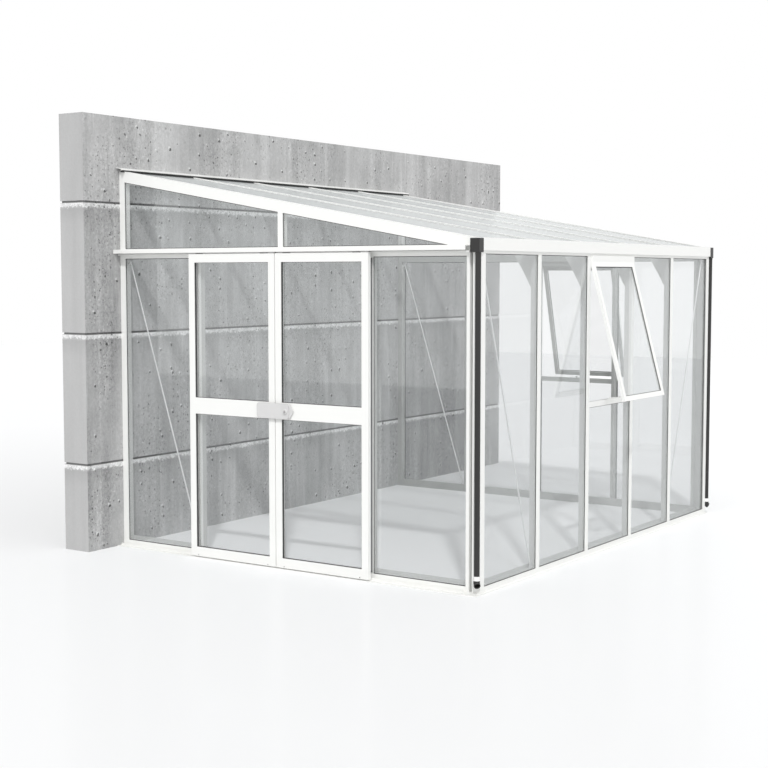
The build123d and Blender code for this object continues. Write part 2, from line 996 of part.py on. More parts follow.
with BuildPart() as track_back:
    block(gable_section(0), -hood_sheet, ledge_bottom, 0, hood_top - hood_sheet, track_length)
save(track_back, "track_back")

with BuildPart() as track_rail:
    with BuildSketch(gable_section(0)):
        field(-ledge_reach, ledge_bottom, -hood_sheet, ledge_bottom + hood_sheet)
        field(-ledge_reach, ledge_bottom, -ledge_reach + bead_wall, bead_top)
    extrude(amount=track_length)
save(track_rail, "track_rail")


# Door leaves: left one towards the wall
def leaf_openings(left):
    low = (
        left + stile,
        leaf_bottom + bottom_rail,
        left + leaf_width - stile,
        middle_rail_bottom,
    )
    high = (
        left + stile,
        middle_rail_top,
        left + leaf_width - stile,
        leaf_top - top_rail,
    )
    return low, high


def leaf(left):
    with BuildSketch(door_face.offset(leaf_inner)) as profile:
        field(left, leaf_bottom, left + leaf_width, leaf_top)
        for x0, z0, x1, z1 in leaf_openings(left):
            field(x0, z0, x1, z1, mode=Mode.SUBTRACT)
    extrude(profile.sketch, amount=leaf_depth)
    for x0, z0, x1, z1 in leaf_openings(left):
        groove = door_face.offset(leaf_inner + leaf_groove)
        block(groove, x0 - bite, z0 - bite, x1 + bite, z1 + bite, glass, mode=Mode.SUBTRACT)


def leaf_glass(left):
    for x0, z0, x1, z1 in leaf_openings(left):
        groove = door_face.offset(leaf_inner + leaf_groove)
        block(groove, x0 - bite, z0 - bite, x1 + bite, z1 + bite, glass)


# Rollers ride on the bead, guide shoes reach over the rib of the sill into its channel
def leaf_runners(left):
    bead_middle = ledge_reach - bead_wall / 2
    wheel_front = bead_middle + wheel_width / 2
    groove_half = bead_wall / 2 + groove_clearance
    groove_radius = axle_level - bead_top - bead_clearance
    for y in (left + roller_inset, left + leaf_width - roller_inset):
        block(
            door_face.offset(leaf_inner),
            y - hanger_foot / 2,
            leaf_top,
            y + hanger_foot / 2,
            leaf_top + hood_sheet,
            leaf_depth - hanger_margin,
        )
        block(
            door_face.offset(leaf_inner),
            y - hanger_upstand / 2,
            leaf_top,
            y + hanger_upstand / 2,
            leaf_top + hanger_height,
            hood_sheet,
        )
        wheel_plane = door_face.offset(wheel_front - wheel_width)
        disc(wheel_plane, y, axle_level, wheel_diameter / 2, wheel_width)
        with BuildSketch(door_face.offset(bead_middle - groove_half)) as groove:
            with Locations((y, axle_level)):
                Circle(wheel_diameter)
                Circle(groove_radius, mode=Mode.SUBTRACT)
        extrude(groove.sketch, amount=2 * groove_half, mode=Mode.SUBTRACT)
        axle_length = leaf_inner + hood_sheet - bead_middle
        disc(door_face.offset(bead_middle), y, axle_level, axle_diameter / 2, axle_length)
    for y in (left + guide_inset, left + leaf_width - guide_inset):
        bridge_bottom = rib_height + guide_clear
        block(
            door_face.offset(leaf_inner - guide_plate),
            y - guide_width / 2,
            bridge_bottom,
            y + guide_width / 2,
            guide_top,
            guide_plate,
        )
        block(
            door_face.offset(tongue_reach),
            y - guide_width / 2,
            bridge_bottom,
            y + guide_width / 2,
            bridge_bottom + tongue_wall,
            leaf_inner - tongue_reach,
        )
        block(
            door_face.offset(tongue_reach),
            y - guide_width / 2,
            tongue_bottom,
            y + guide_width / 2,
            bridge_bottom + tongue_wall,
            tongue_wall,
        )


meeting_line = side_line(gable_middle)
left_start = meeting_line - door_gap / 2 - leaf_width
right_start = meeting_line + door_gap / 2
latch_y = right_start + latch_inset
leaf_front = leaf_inner + leaf_depth

with BuildPart() as left_frame:
    leaf(left_start)
save(left_frame, "left_door_frame")

with BuildPart() as left_glass:
    leaf_glass(left_start)
save(left_glass, "left_door_glass")

with BuildPart() as left_rollers:
    leaf_runners(left_start)
save(left_rollers, "left_door_rollers")

# The right leaf carries the boss and pin on which the latch turns
with BuildPart() as right_frame:
    leaf(right_start)
    with BuildSketch(door_face.offset(leaf_front)):
        with Locations((latch_y, latch_z)):
            Circle(boss_diameter / 2)
    extrude(amount=latch_stand - pin_clearance)
    with BuildSketch(door_face.offset(leaf_front)):
        with Locations((latch_y, latch_z)):
            Circle(pin_diameter / 2)
    extrude(amount=latch_stand + hub_depth + plate_depth - pin_clearance)
save(right_frame, "right_door_frame")

with BuildPart() as right_glass:
    leaf_glass(right_start)
save(right_glass, "right_door_glass")

with BuildPart() as right_rollers:
    leaf_runners(right_start)
save(right_rollers, "right_door_rollers")

# Latch: six-sided hub on the pin, long plate over both leaves, round cap
hub_plane = door_face.offset(leaf_front + latch_stand)
plate_plane = hub_plane.offset(hub_depth)
bore_radius = pin_diameter / 2 + pin_clearance
with BuildPart() as latch_knob:
    with BuildSketch(hub_plane):
        with Locations((latch_y, latch_z)):
            RegularPolygon(hub_radius, 6)
            Circle(bore_radius, mode=Mode.SUBTRACT)
    extrude(amount=hub_depth)
save(latch_knob, "latch_knob")

with BuildPart() as latch_plate:
    with BuildSketch(plate_plane):
        with Locations((latch_y + (latch_right - latch_left) / 2, latch_z)):
            RectangleRounded(latch_left + latch_right, latch_height, plate_corner)
    extrude(amount=plate_depth)
    with BuildSketch(plate_plane.offset(plate_depth)):
        with Locations((latch_y, latch_z)):
            Circle(cap_diameter / 2)
    extrude(amount=cap_rise)
    chamfer(latch_plate.edges().filter_by(GeomType.CIRCLE).group_by(Axis.X)[0], length=cap_chamfer)
    with BuildSketch(plate_plane):
        with Locations((latch_y, latch_z)):
            Circle(bore_radius)
    extrude(amount=plate_depth, mode=Mode.SUBTRACT)
save(latch_plate, "latch_plate")
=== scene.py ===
# %% [markdown]
# A lean-to greenhouse on a concrete wall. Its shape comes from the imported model, which is loaded as a
# fixed frame in metres: the wall runs along X, the glass house stands on the -Y side and Z is up.
# This file gives each piece its finish and adds what is too small for the model, such as the rubber
# gaskets along the panes and the screw heads. Light, floor and camera come last.

# %% Load the frame
import bpy
import json
import math
from mathutils import Matrix, Vector


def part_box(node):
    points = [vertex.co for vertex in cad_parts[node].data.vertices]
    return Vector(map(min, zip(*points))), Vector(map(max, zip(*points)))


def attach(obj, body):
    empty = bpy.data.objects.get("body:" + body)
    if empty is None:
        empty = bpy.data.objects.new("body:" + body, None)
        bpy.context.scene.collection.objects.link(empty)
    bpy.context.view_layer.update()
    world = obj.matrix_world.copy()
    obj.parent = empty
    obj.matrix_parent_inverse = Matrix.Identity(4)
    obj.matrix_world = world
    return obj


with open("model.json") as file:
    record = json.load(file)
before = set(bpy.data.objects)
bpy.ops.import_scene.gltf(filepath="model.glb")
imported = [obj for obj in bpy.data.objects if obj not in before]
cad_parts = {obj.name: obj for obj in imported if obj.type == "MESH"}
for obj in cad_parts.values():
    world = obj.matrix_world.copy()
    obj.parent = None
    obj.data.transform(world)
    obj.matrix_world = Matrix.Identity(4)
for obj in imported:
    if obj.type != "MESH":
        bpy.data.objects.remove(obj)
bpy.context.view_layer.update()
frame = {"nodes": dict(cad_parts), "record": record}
nodes = frame["nodes"]
bpy.ops.object.select_all(action="DESELECT")
print("pieces in the frame:", len(nodes))

# %% [markdown]
# The house is measured from its door gable and from the wall's face: x along the wall, y outwards,
# z up. One helper turns these measures into a place in the scene, so the pieces below can be laid
# out on the same grid of bays as the bars.

# %% The house's grid
gable_x = -2.540
wall_y = -0.1125
house_length = 3.614
house_depth = 2.937
far_x = gable_x + house_length
bay = 0.710
corner_line = 0.032
wall_line = 0.008


def house(x, y, z):
    return Vector((gable_x + x, wall_y - y, z))


def front_line(i):
    return corner_line + i * bay


def side_line(i):
    return wall_line + i * bay


print("front bays from", round(front_line(0), 3), "to", round(front_line(5), 3))

# %% [markdown]
# A finish is a small web of shader nodes, and two small classes keep it readable. The first stands
# for a socket and overloads + - * / and **, so a sum on sockets is written as Python and becomes
# Math nodes. Its methods rises and falls make soft masks: a value that climbs from 0 to 1 over a
# width, or sinks from 1 to 0.

# %% Shader sums as Python
class Socket:
    def __init__(self, finish, socket):
        self.finish = finish
        self.socket = socket

    def math(self, operation, *values, clamp=False):
        settings = {"operation": operation, "use_clamp": clamp}
        return self.finish.node("ShaderNodeMath", settings, dict(enumerate(values)))

    def __add__(self, other):
        return self.math("ADD", self, other)

    def __sub__(self, other):
        return self.math("SUBTRACT", self, other)

    def __mul__(self, other):
        return self.math("MULTIPLY", self, other)

    def __truediv__(self, other):
        return self.math("DIVIDE", self, other)

    def __pow__(self, other):
        return self.math("POWER", self, other)

    def __neg__(self):
        return self.math("MULTIPLY", self, -1.0)

    def __rsub__(self, other):
        return self.math("SUBTRACT", other, self)

    __radd__ = __add__
    __rmul__ = __mul__

    def __abs__(self):
        return self.math("ABSOLUTE", self)

    def clamped(self):
        return self.math("ADD", self, 0.0, clamp=True)

    def larger(self, other):
        return self.math("MAXIMUM", self, other)

    def rises(self, start, width):
        return ((self - start) / width).clamped()

    def falls(self, end, width):
        return ((end - self) / width).clamped()

    def along(self, axis):
        return self.finish.node("ShaderNodeSeparateXYZ", {}, {0: self}, take=axis)

    def towards(self, heading):
        turn = {"operation": "DOT_PRODUCT"}
        return self.finish.node("ShaderNodeVectorMath", turn, {0: self, 1: heading}, take="Value")

    def moved(self, step):
        return self.finish.node("ShaderNodeVectorMath", {"operation": "ADD"}, {0: self, 1: step})

    def shifted(self, other, share):
        scale = {0: other, "Scale": share}
        return self.moved(self.finish.node("ShaderNodeVectorMath", {"operation": "SCALE"}, scale))


# %% [markdown]
# The second class holds one material. Its method node makes any node from its type, its settings
# and the values or links of its sockets, and the short methods below it name the nodes that the
# finishes use most. The method finish_with links the last shader to the output.

# %% One finish and its nodes
class Finish:
    def __init__(self, name, tree=None):
        self.name = name
        if tree is None:
            self.material = bpy.data.materials.new(name)
            self.material.use_nodes = True
            tree = self.material.node_tree
        self.tree = tree
        self.tree.nodes.clear()

    def node(self, kind, settings=None, values=None, take=0):
        made = self.tree.nodes.new(kind)
        for name, value in (settings or {}).items():
            setattr(made, name, value)
        for name, value in (values or {}).items():
            if isinstance(value, Socket):
                self.tree.links.new(value.socket, made.inputs[name])
            else:
                made.inputs[name].default_value = value
        return Socket(self, made.outputs[take])

    def noise(self, vector, scale, detail=3.0, roughness=0.5):
        values = {"Vector": vector, "Scale": scale, "Detail": detail, "Roughness": roughness}
        return self.node("ShaderNodeTexNoise", {}, values)

    def mix(self, share, low, high):
        values = {0: share, 6: low, 7: high}
        return self.node("ShaderNodeMix", {"data_type": "RGBA"}, values, take=2)

    def bump(self, height, strength, distance):
        values = {"Height": height, "Strength": strength, "Distance": distance}
        return self.node("ShaderNodeBump", {}, values)

    def place(self):
        return self.node("ShaderNodeTexCoord", take="Object")

    def normal(self):
        return self.node("ShaderNodeNewGeometry", take="Normal")

    def slant(self):
        return self.node("ShaderNodeLayerWeight", {}, {"Blend": 0.5}, take="Facing")

    def ray(self, kind):
        return self.node("ShaderNodeLightPath", take=kind)

    def stretched(self, vector, scale):
        return self.node("ShaderNodeMapping", {}, {"Vector": vector, "Scale": scale})

    def flat_grey(self, tone):
        return self.node("ShaderNodeCombineColor", {}, {0: tone, 1: tone, 2: tone})

    def surface(self, values):
        return self.node("ShaderNodeBsdfPrincipled", {}, values)

    def see_through(self, tint):
        return self.node("ShaderNodeBsdfTransparent", {}, {"Color": tint})

    def blend(self, share, first, second):
        return self.node("ShaderNodeMixShader", {}, {0: share, 1: first, 2: second})

    def finish_with(self, shader, kind="ShaderNodeOutputMaterial"):
        output = self.tree.nodes.new(kind)
        self.tree.links.new(shader.socket, output.inputs["Surface"])
        print("finish:", self.name, "with", len(self.tree.nodes), "nodes")

# %% [markdown]
# Concrete cast against boards is never one grey. Rain and the boards draw soft upright bands, some
# pale runs hang down from the joints, and air against the boards leaves pits from a pinhole to a
# fingertip wide, which gather in clusters. Each of these is one noise or cell pattern at its own
# scale, and they are added up to one tone. The pits belong to the two big faces only, so they are
# laid out flat on them and the wall's normal fades them on its end.

# %% Concrete
concrete = Finish("concrete")
spot = concrete.place()
wall_x, wall_back, height = (spot.along(axis) for axis in "XYZ")
face_spot = concrete.node("ShaderNodeCombineXYZ", {}, {0: wall_x, 1: height})
normal = concrete.normal()
end_face = abs(normal.along("X"))
big_face = abs(normal.along("Y"))
bands = concrete.noise(concrete.stretched(spot, (2.6, 2.6, 0.25)), 1.0, 2.0, 0.5)
streaks = concrete.noise(concrete.stretched(spot, (8.0, 8.0, 0.55)), 1.0, 4.0, 0.55)
runs = concrete.noise(concrete.stretched(spot, (19.0, 19.0, 1.3)), 1.0, 3.0, 0.55)
blotches = concrete.noise(spot, 3.4, 5.0, 0.60)
flecks = concrete.noise(concrete.stretched(spot, (75.0, 75.0, 50.0)), 1.0, 3.0, 0.75)
grain = concrete.noise(spot, 120.0, 2.0, 0.5)
swaths = concrete.noise(concrete.stretched(spot, (3.2, 3.2, 1.5)), 1.0, 3.0, 0.6)
clusters = ((swaths - 0.42) * 6.0).clamped() * big_face
print("concrete: nodes for its tones", len(concrete.tree.nodes))

# %% [markdown]
# A pit is a round spot in a cell of a Voronoi pattern: it is painted dark, as the shade in its
# hollow, where the distance to the cell's own point is below a radius. Each cell has a random colour,
# which decides whether it holds a pit and how wide that is. A little noise bends the outlines. The
# same cells, moved a centimetre up and aside, give the deep pits a pale rim, a painted highlight where
# the edge catches the light.

# %% Pits of the concrete
bend = 0.20
edge_sharpness = 400.0


def pits(cells_per_metre, largest_radius, share, offset=(0.0, 0.0, 0.0)):
    waves = {"Vector": spot, "Scale": cells_per_metre * 5.0}
    bent = concrete.node("ShaderNodeTexNoise", {}, waves, take="Color")
    at = face_spot.shifted(bent, bend / cells_per_metre).moved(offset)
    cells = {"Vector": at, "Scale": cells_per_metre}
    flat = {"voronoi_dimensions": "2D"}
    away = concrete.node("ShaderNodeTexVoronoi", flat, cells, take="Distance")
    colour = concrete.node("ShaderNodeTexVoronoi", flat, cells, take="Color")
    chance = concrete.node("ShaderNodeSeparateColor", {}, {0: colour}, take=0)
    radius = (chance - (1 - share)) * (largest_radius * cells_per_metre / share)
    return ((radius - away) * (edge_sharpness / cells_per_metre)).clamped() * big_face


widest_pits = (9.0, 0.0125, 0.50)
rim_highlight_offset = (0.010, -0.012, 0.0)
deep_pits = pits(*widest_pits)
small_pits = pits(19.0, 0.0095, 0.50) * (clusters * 0.80 + 0.20)
pin_pits = pits(38.0, 0.007, 0.45) * clusters
# painted highlight: a pale rim beside each deep pit
rim_highlights = pits(*widest_pits, rim_highlight_offset) * (1 - deep_pits)
specks = pits(24.0, 0.010, 0.35) * (clusters * 0.6 + 0.2)
print("concrete: nodes with the pits", len(concrete.tree.nodes))

# %% [markdown]
# The wall was cast in four lifts, and the top one is paler. Each joint is a groove, painted darker
# as shade, and the edge under it has spalled to a pale, uneven lip, partly bleached by lime and partly
# a painted highlight where the edge catches the light, with a painted shadow below. All of this
# follows the height, and a fine noise makes the lip ragged. Under the glass roof the wall is painted
# a little paler, as painted light that makes up for the shade of roof and panes, and this is a mask
# over the house's own length and roof line.

# %% Joints of the wall
joint_levels = (0.603, 1.512, 2.420)
half_groove = 0.0065
lip_height = 0.031
shadow_top, shadow_end = 0.030, 0.150
third_lift_foot = 1.520
roof_line_top = 2.655
wall_face = -0.105
ragged = (concrete.noise(spot, 38.0, 4.0, 0.75) - 0.5) * 0.085
lip_lime_and_highlight, shadow, groove_shade = 0.0, 0.0, 0.0
for joint in joint_levels:
    below = -(height - joint)
    # pale lip under each joint: partly lime bleaching, partly a painted highlight of the edge
    lip_lime_and_highlight = (below / 0.004).clamped() * below.falls(lip_height + ragged, 0.007) + lip_lime_and_highlight
    # painted shadow in a band below each lip
    shadow = below.rises(shadow_top, 0.012) * below.falls(shadow_end, 0.110) + shadow
    # painted shade: the band of each groove is darkened as the recess's shade
    inside = abs(height + ragged * 0.04 - (joint + half_groove)) / half_groove
    groove_shade = ((1.15 - inside) * 8.0).clamped() + groove_shade
worn = (concrete.noise(spot, 42.0, 4.0, 0.75) * 4.0 - 1.35).clamped()
top_lift = height.rises(joint_levels[2], 0.02)
third_lift = height.rises(third_lift_foot, 0.02) - top_lift
# painted light: the wall under the house's roof gets a paler tone that makes up for the roof's shade
painted_light_under_roof = wall_x.rises(gable_x, 0.03) * wall_x.falls(far_x, 0.03)
painted_light_under_roof = painted_light_under_roof * height.falls(roof_line_top, 0.02) * wall_back.falls(wall_face, 0.004)
print("concrete: nodes with the joints", len(concrete.tree.nodes))

# %% [markdown]
# Now the patterns are added up. The numbers below are weights: each says how much brighter or darker
# its pattern makes the grey, which starts from one base tone. A noise first loses 0.5, so that it
# works both ways. Pits and grooves multiply the sum as painted shade, so they stay dark on a pale
# lift too. Some of the patterns, weighted again, give the bump.

# %% The concrete's tone and relief
base_tone = 0.384
tone = base_tone + end_face * 0.092 + (top_lift * 0.100 + third_lift * 0.016) * big_face
# painted light under the roof
tone = tone + painted_light_under_roof * (0.110 - top_lift * 0.055)
tone = tone + (streaks - 0.5) * (0.14 + big_face * 0.24) + (bands - 0.5) * big_face * 0.32
tone = tone + (blotches - 0.5) * (0.04 + big_face * 0.16) + (grain - 0.5) * 0.06
tone = tone + (flecks - 0.5) * (0.06 + big_face * 0.18 + clusters * 0.32)
tone = tone + ((runs - 0.55) * 7.0).clamped() * big_face * 0.075
# painted shadow below the lips, painted highlights on the lips and the pit rims
tone = tone * (1 - shadow * 0.12) + lip_lime_and_highlight * (0.25 + worn * 0.75) * 0.38 + specks * 0.15 + rim_highlights * 0.20
# painted shade: grooves and pits darken the tone
tone = tone * (1 - groove_shade * 0.35) * (1 - deep_pits * 0.72) * (1 - small_pits * 0.60)
tone = tone * (1 - pin_pits * 0.48)
relief = grain * 0.10 + flecks * 0.25 + streaks * 0.10
relief = relief - deep_pits * 1.4 - small_pits * 1.0 - pin_pits * 0.5
concrete.finish_with(concrete.surface({
    "Base Color": concrete.flat_grey(tone),
    "Roughness": 0.82 + (blotches - 0.5) * 0.12,
    "Specular IOR Level": 0.25,
    "Normal": concrete.bump(relief, 0.6, 0.005),
}))

# %% [markdown]
# The bars are aluminium with a white powder coat. Powder melts to a skin that is smooth but not
# quite flat, like fine orange peel, and a real coat gathers a little dust near the ground. A noise
# of a few millimetres gives the peel as bump, and height gives the dust. Inside the house the legs
# of the bars are painted a duller grey as shade, because less light reaches them behind the panes,
# and this painted shade is darkest at the far gable.

# %% White powder coat
dust_height = 0.12
cover_back = 0.016
sill_back = 0.020
powder_coat = Finish("white_powder_coat")
spot = powder_coat.place()
inner_x, inner_y, height = (spot.along(axis) for axis in "XYZ")
drift = powder_coat.noise(spot, 3.0, 4.0, 0.55)
peel = powder_coat.noise(spot, 420.0, 2.0, 0.5)
dust = (1.0 - height / dust_height).clamped() * drift * 0.35
# painted shade: the coat behind the panes, and the far gable's faces that face the room, is greyed
indoors = inner_x.rises(gable_x + cover_back, 0.006) * inner_x.falls(far_x - cover_back, 0.006)
indoors = indoors * inner_y.rises(wall_y - house_depth + sill_back, 0.006)
indoors = indoors * height.falls(2.40, 0.5)
inwards = ((-powder_coat.normal().along("X") - 0.3) * 3.0).clamped()
far_gable = inner_x.rises(far_x - 0.10, 0.05)
indoors = indoors.larger(inwards * far_gable * height.falls(2.15, 0.02))
deep = inner_x.rises(gable_x + 2.5, 1.0)
shade = powder_coat.mix(drift * 0.5, (0.868, 0.872, 0.852, 1), (0.893, 0.893, 0.878, 1))
shade = powder_coat.mix(dust, shade, (0.60, 0.585, 0.55, 1))
# painted shade colours, darker towards the far gable
painted_indoor_shade = powder_coat.mix(deep, (0.58, 0.585, 0.575, 1), (0.40, 0.405, 0.395, 1))
shade = powder_coat.mix(indoors * (0.75 + drift * 0.25), shade, painted_indoor_shade)
powder_coat.finish_with(powder_coat.surface({
    "Base Color": shade,
    "Roughness": 0.34 + (drift - 0.5) * 0.14,
    "Specular IOR Level": 0.5,
    "Normal": powder_coat.bump(peel, 0.12, 0.0008),
}))

# %% [markdown]
# Clear glass lets light straight through and mirrors a little, more so when it is seen at a slant.
# Layer Weight gives that slant: its fourth power is about the share that a pane's two faces mirror.
# Mixing a faintly tinted see-through shader with a mirror by this share keeps the light and the
# shadows behind the panes clean, which bending every ray would not.

# %% Clear glass
clear_glass = Finish("clear_glass")
smear = clear_glass.noise(clear_glass.place(), 1.7, 4.0, 0.6)
mirror = clear_glass.surface({
    "Base Color": (0.93, 0.95, 0.95, 1),
    "Metallic": 1.0,
    "Roughness": 0.015 + smear * 0.02,
})
through = clear_glass.see_through((0.976, 0.979, 0.981, 1))
share = clear_glass.slant() ** 4.0 * 0.90 + 0.085
clear_glass.finish_with(clear_glass.blend(share, through, mirror))

# %% [markdown]
# The roof sheets are milky: they glow softly and veil what is under them, but still let most of the
# light in. A share of a soft white shader is mixed over the see-through one, and the share grows at
# a slant, as the gloss does. Grime that lies in long streaks down the slope varies both.

# %% Milky roof sheets
roof_sheet = Finish("milky_roof_sheet")
spot = roof_sheet.place()
grime = roof_sheet.noise(roof_sheet.stretched(spot, (6.0, 1.0, 1.0)), 2.0, 4.0, 0.6)
milk = roof_sheet.surface({
    "Base Color": roof_sheet.mix(grime, (0.72, 0.74, 0.74, 1), (0.60, 0.63, 0.63, 1)),
    "Roughness": 0.16 + grime * 0.10,
    "Specular IOR Level": 0.8,
})
through = roof_sheet.see_through((0.905, 0.918, 0.918, 1))
share = 0.22 + roof_sheet.slant() ** 4.0 * 0.66 + (grime - 0.5) * 0.10
roof_sheet.finish_with(roof_sheet.blend(share, through, milk))

# %% [markdown]
# Pipes, caps and rollers are moulded plastic, black or grey, the clips are white, and the gaskets
# are rubber. The mould leaves a fine grain, and so does rolling on the steel screws and the plated
# rods. One recipe serves them all, each with its own tone, warmth, gloss and grain.

# %% Plastics, rubber and steel
def moulded(name, tone, warmth, roughness, grain_scale, strength, metallic=0.0):
    finish = Finish(name)
    spot = finish.place()
    cloud = finish.noise(spot, 9.0, 3.0, 0.5)
    grain = finish.noise(spot, grain_scale, 2.0, 0.5)
    dark, pale = (
        (level * (1 + warmth), level, level * (1 - warmth), 1) for level in (tone * 0.92, tone * 1.08)
    )
    finish.finish_with(finish.surface({
        "Base Color": finish.mix(cloud, dark, pale),
        "Roughness": roughness + (cloud - 0.5) * 0.12,
        "Metallic": metallic,
        "Normal": finish.bump(grain, strength, 0.0006),
    }))
    return finish


black_plastic = moulded("black_moulded_plastic", 0.022, 0.02, 0.42, 500.0, 0.20)
black_rubber = moulded("black_rubber", 0.022, 0.0, 0.70, 260.0, 0.30)
gasket_rubber = moulded("dark_gasket_rubber", 0.055, 0.0, 0.62, 260.0, 0.25)
white_plastic = moulded("white_clip_plastic", 0.84, 0.01, 0.38, 420.0, 0.12)
grey_plastic = moulded("pale_grey_plastic", 0.64, 0.005, 0.33, 380.0, 0.10)
# grey brush whose dark grey also stands in for the shade in the jamb gaps
grey_brush_shade = moulded("grey_brush_shade", 0.20, 0.0, 0.80, 900.0, 0.40)
steel = moulded("stainless_steel", 0.62, 0.01, 0.28, 700.0, 0.10, metallic=1.0)
zinc = moulded("zinc_plated_rod", 0.88, 0.0, 0.34, 700.0, 0.10, metallic=0.7)

# %% [markdown]
# The record names a material slot for every piece of the frame. Each slot gets one finish, so the
# pieces are dressed in one loop. Their meshes are left as they are. The wind braces count among the
# white pieces but are bare plated rods, brighter on the side of the light, so they get zinc.

# %% Dress the frame
slot_finish = {
    "concrete": concrete,
    "white_frame": powder_coat,
    "clear_glass": clear_glass,
    "roof_sheet": roof_sheet,
    "black_plastic": black_plastic,
    "black_rubber": black_rubber,
    "white_plastic": white_plastic,
    "grey_plastic": grey_plastic,
}
for part in frame["record"]["subparts"]:
    node = nodes[part["node"]]
    material = slot_finish[part["material_slot"]].material
    if not node.material_slots:
        node.data.materials.append(material)
    for slot in node.material_slots:
        slot.material = material
for slot in nodes["wind_braces"].material_slots:
    slot.material = zinc.material

# %% [markdown]
# Every pane is held by a dark rubber gasket that shows as a thin line where glass meets bar. One
# ring is modelled from a flat face in the shape of the opening: the face is inset by the gasket's
# width, its middle is deleted, and Solidify gives the ring its thickness. Rings on the same side of
# the house are joined to one piece.

# %% A gasket ring
gasket_width = 0.004
gasket_stand = 0.003


def gasket_ring(corners, outwards, width=gasket_width, stand=gasket_stand):
    bpy.ops.object.select_all(action="DESELECT")
    bpy.ops.mesh.primitive_circle_add(vertices=len(corners), radius=1.0, fill_type="NGON")
    ring = bpy.context.active_object
    for vertex, corner in zip(ring.data.vertices, corners):
        vertex.co = corner
    bpy.ops.object.mode_set(mode="EDIT")
    bpy.ops.mesh.select_all(action="SELECT")
    bpy.ops.mesh.inset(thickness=width, depth=0)
    bpy.ops.mesh.delete(type="FACE")
    bpy.ops.object.mode_set(mode="OBJECT")
    facing = ring.data.polygons[0].normal.dot(outwards)
    wall = ring.modifiers.new("thickness", "SOLIDIFY")
    wall.thickness = stand
    wall.offset = 1.0 if facing > 0 else -1.0
    bpy.ops.object.modifier_apply(modifier=wall.name)
    bpy.ops.object.mode_set(mode="EDIT")
    bpy.ops.mesh.select_all(action="SELECT")
    bpy.ops.mesh.normals_make_consistent(inside=False)
    bpy.ops.object.mode_set(mode="OBJECT")
    return ring


def join_as(name, pieces, finish, body):
    bpy.ops.object.select_all(action="DESELECT")
    for piece in pieces:
        piece.select_set(True)
    bpy.context.view_layer.objects.active = pieces[0]
    if len(pieces) > 1:
        bpy.ops.object.join()
    joined = bpy.context.active_object
    bpy.ops.object.transform_apply(location=True, rotation=True, scale=True)
    joined.name = name
    joined.data.name = name
    joined.data.materials.clear()
    joined.data.materials.append(finish.material)
    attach(joined, body)
    joined.select_set(False)
    print(name, "made of", len(pieces), "copies,", len(joined.data.polygons), "faces")


print("gasket:", gasket_width, "m wide and", gasket_stand, "m thick")

# %% [markdown]
# The fixed panes stand in bays. In the front all are upright rectangles, and the one under the
# window stops at its rail. In the gables the upper panes follow the slope of the roof. Each opening
# is measured between the covers of its bars.

# %% Gaskets of the fixed panes
half_cover = 0.020
cover_depth = 0.010
wall_cover = 0.045
corner_cover = 2.837
sill_height = 0.040
window_rail_bottom = 1.022
rail_bottom = 2.038
rail_top = 2.105
eaves_level = 2.051
roof_top = 2.664
roof_foot = 2.150
rafter_depth = 0.085
slope = (roof_top - roof_foot) / house_depth
window_bay = 2


def under_rafter(y):
    return roof_top - slope * y - rafter_depth


def upright(side, low, high, foot, head):
    at = [(low, foot), (high, foot), (high, head), (low, head)]
    if side == "front":
        return [house(x, house_depth - cover_depth, z) for x, z in at]
    x = cover_depth if side == "door" else house_length - cover_depth
    return [house(x, y, z) for y, z in at]


def front_rings():
    made = []
    for i in range(5):
        head = window_rail_bottom if i == window_bay else eaves_level
        low, high = front_line(i) + half_cover, front_line(i + 1) - half_cover
        made.append(gasket_ring(upright("front", low, high, sill_height, head), Vector((0, -1, 0))))
    return made


def gable_rings(side, bays, window=None):
    outwards = Vector((-1 if side == "door" else 1, 0, 0))
    made = []
    for i in bays:
        low = wall_cover if i == 0 else side_line(i) + half_cover
        head = window_rail_bottom if i == window else rail_bottom
        high = corner_cover if i == 3 else side_line(i + 1) - half_cover
        made.append(gasket_ring(upright(side, low, high, sill_height, head), outwards))
    x = cover_depth if side == "door" else house_length - cover_depth
    inner_end, outer_start = side_line(2) - half_cover, side_line(2) + half_cover
    tip = (roof_top - rafter_depth - rail_top) / slope
    inner = [(wall_cover, rail_top), (inner_end, rail_top)]
    inner += [(y, under_rafter(y)) for y in (inner_end, wall_cover)]
    outer = [(outer_start, rail_top), (tip, rail_top), (outer_start, under_rafter(outer_start))]
    for points in (inner, outer):
        made.append(gasket_ring([house(x, y, z) for y, z in points], outwards))
    return made


fixed_gaskets = (
    ("front_gaskets", front_rings()),
    ("door_gable_gaskets", gable_rings("door", (0, 3))),
    ("far_gable_gaskets", gable_rings("far", range(4), window_bay)),
)
for name, rings in fixed_gaskets:
    join_as(name, rings, gasket_rubber, "greenhouse")

# %% [markdown]
# Each door leaf has a low and a high pane, set well back. Their gaskets line the reveals nearly to
# the front, which draws a dark edge round each pane. They ride on the leaf, so they slide with it.

# %% Gaskets of the door leaves
leaf_width = 0.733
leaf_gap = 0.003
leaf_foot = 0.0095
leaf_top = 2.064
stile = 0.050
bottom_rail = 0.0645
middle_rail = (0.987, 1.097)
top_rail = 0.057
leaf_panes = ((leaf_foot + bottom_rail, middle_rail[0]), (middle_rail[1], leaf_top - top_rail))
reveal_plane = -0.043
reveal_gasket = {"width": 0.0025, "stand": 0.016}
leaf_start = {
    "left": side_line(2) - leaf_gap - leaf_width,
    "right": side_line(2) + leaf_gap,
}


def leaf_rings(start):
    low, high = start + stile, start + leaf_width - stile
    made = []
    for foot, head in leaf_panes:
        at = [(low, foot), (high, foot), (high, head), (low, head)]
        corners = [house(reveal_plane, y, z) for y, z in at]
        made.append(gasket_ring(corners, Vector((-1, 0, 0)), **reveal_gasket))
    return made


